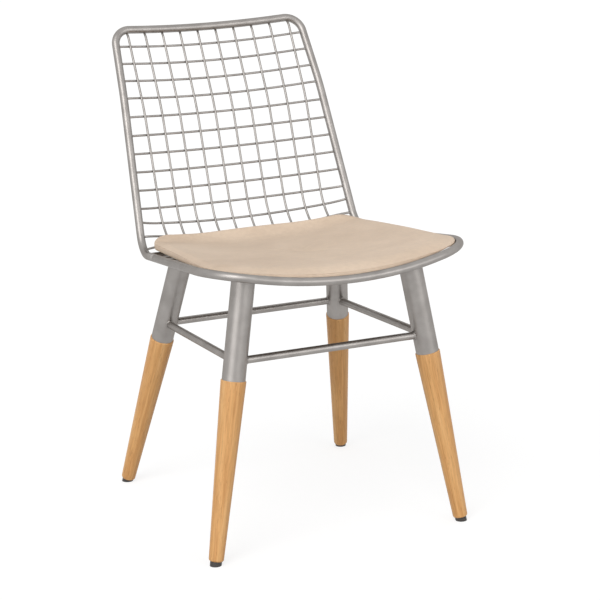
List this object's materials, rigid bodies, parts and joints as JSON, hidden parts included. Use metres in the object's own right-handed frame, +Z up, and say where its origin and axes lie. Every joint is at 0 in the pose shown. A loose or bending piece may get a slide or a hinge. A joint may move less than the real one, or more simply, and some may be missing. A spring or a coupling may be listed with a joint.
{
  "type": "outdoor side chair",
  "caption": "Outdoor side chair with a bent tube frame, a dished welded wire shell, a thin seat cushion, and splayed steel legs with turned timber ends.",
  "frame": {"origin": "on the floor, under the middle of the chair's bounding box", "axes": "+Z up, the chair faces -Y, +X across the seat to the right of someone who looks along +Y"},
  "size_m": [0.4632, 0.6148, 0.7998],
  "materials": {
    "brushed_steel": "brushed and clear-coated, warm grey",
    "zinc_steel": "zinc plated",
    "oiled_timber": "oiled, satin",
    "dark_plastic": "matte",
    "cushion_leather": "fine-grained tan leather-look cover, matte",
    "cushion_fill": "open-cell foam"
  },
  "bodies": {
    "root": {"back_hoop": "brushed_steel", "seat_hoop": "brushed_steel", "long_wire_01": "brushed_steel", "long_wire_02": "brushed_steel", "long_wire_03": "brushed_steel", "long_wire_04": "brushed_steel", "long_wire_05": "brushed_steel", "long_wire_06": "brushed_steel", "long_wire_07": "brushed_steel", "long_wire_08": "brushed_steel", "long_wire_09": "brushed_steel", "long_wire_10": "brushed_steel", "back_cross_wires": "brushed_steel", "seat_cross_wires": "brushed_steel", "front_bearer": "brushed_steel", "rear_bearer": "brushed_steel", "sleeve_caps": "brushed_steel", "leg_sleeve_front_left": "brushed_steel", "leg_sleeve_front_right": "brushed_steel", "leg_sleeve_rear_left": "brushed_steel", "leg_sleeve_rear_right": "brushed_steel", "stretcher_front": "brushed_steel", "stretcher_rear": "brushed_steel", "stretcher_left": "brushed_steel", "stretcher_right": "brushed_steel", "threaded_plugs": "zinc_steel", "hanger_bolts": "zinc_steel", "timber_leg_front_left": "oiled_timber", "timber_leg_front_right": "oiled_timber", "timber_leg_rear_left": "oiled_timber", "timber_leg_rear_right": "oiled_timber", "foot_glides": "dark_plastic", "cushion_cover": "cushion_leather", "cushion_foam": "cushion_fill"}
  },
  "joints": []
}
